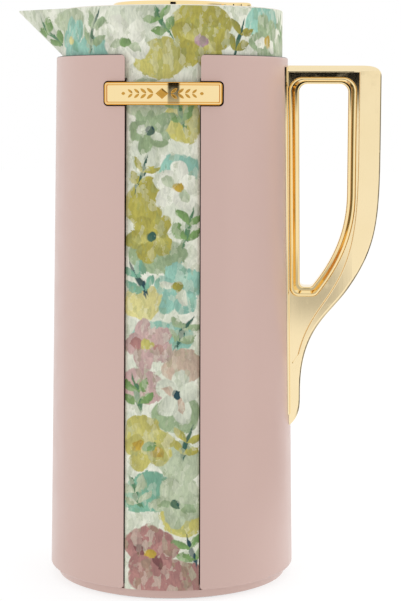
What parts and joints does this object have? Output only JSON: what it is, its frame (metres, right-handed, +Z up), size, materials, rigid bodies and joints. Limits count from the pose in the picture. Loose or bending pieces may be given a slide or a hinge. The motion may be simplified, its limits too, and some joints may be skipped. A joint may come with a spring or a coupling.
{
  "type": "vacuum jug",
  "caption": "Insulated pouring jug with a beak spout, an open handle, two side shells around a patterned head and strip, and a lift-out stopper with a thumb lever.",
  "frame": {"origin": "on the body's axis, in the plane the jug stands on", "axes": "+Z up, spout towards -X, handle towards +X, front strip and nameplate facing -Y"},
  "size_m": [0.1859, 0.1264, 0.2959],
  "materials": {
    "pink_shell": "satin pink lacquer",
    "printed_pattern": "printed floral pattern with a fine canvas grain",
    "gold_plate": "polished gold plating on plastic",
    "dark_plastic": "fine moulded black",
    "cream_plastic": "semi-gloss moulded",
    "white_plastic": "semi-gloss moulded",
    "silicone": "translucent matt silicone",
    "black_rubber": "matt rubber",
    "glass_clear": "clear blown glass",
    "glass_silvered": "silvered inside the vacuum space",
    "steel": "bright stainless",
    "foam": "pressed felt"
  },
  "bodies": {
    "jug": {"head": "printed_pattern", "side_shell_spout": "pink_shell", "side_shell_handle": "pink_shell", "foot_ring": "pink_shell", "inner_casing": "dark_plastic", "badge": "gold_plate", "badge_bracket": "dark_plastic", "base_cover": "dark_plastic", "adjusting_disc": "dark_plastic", "rubber_foot": "black_rubber", "refill_seat": "black_rubber", "refill_outer_glass": "glass_clear", "refill_inner_glass": "glass_silvered", "glass_spacer_pads": "foam", "side_buffers": "foam", "pouring_bowl": "cream_plastic", "neck_gasket": "silicone", "handle_frame": "gold_plate", "handle_ring": "gold_plate", "handle_backing_plates": "steel", "handle_screws": "steel"},
    "stopper_seal": {"lip_seal": "silicone"},
    "stopper": {"stopper_body": "white_plastic", "stopper_deck": "cream_plastic", "stem_guide": "white_plastic", "lever_pin": "steel"},
    "lever": {"lever_plate": "gold_plate"},
    "valve": {"valve_stem": "white_plastic", "valve_seal": "silicone", "stem_clip": "steel", "valve_spring": "steel"}
  },
  "joints": [
    {"name": "stopper_lift", "type": "slide", "parent": "jug", "child": "stopper_seal", "axis": [0, 0, 1], "range_m": [0, 0.06]},
    {"name": "stopper_turn", "type": "hinge", "parent": "stopper_seal", "child": "stopper", "pos_m": [0, 0, 0.262], "axis": [0, 0, 1], "continuous": true},
    {"name": "lever_press", "type": "hinge", "parent": "stopper", "child": "lever", "pos_m": [-0.024, 0, 0.2893], "axis": [0, 1, 0], "range_deg": [0, 7], "stiffness_Nm_per_rad": 0.6, "springref_deg": -8.59},
    {"name": "valve_slide", "type": "slide", "parent": "stopper", "child": "valve", "axis": [0, 0, -1], "range_m": [0, 0.00295], "deforming": ["valve_spring"]}
  ],
  "couplings": [
    {"joint": "valve_slide", "follows": "lever_press", "m_per_rad": 0.024}
  ]
}
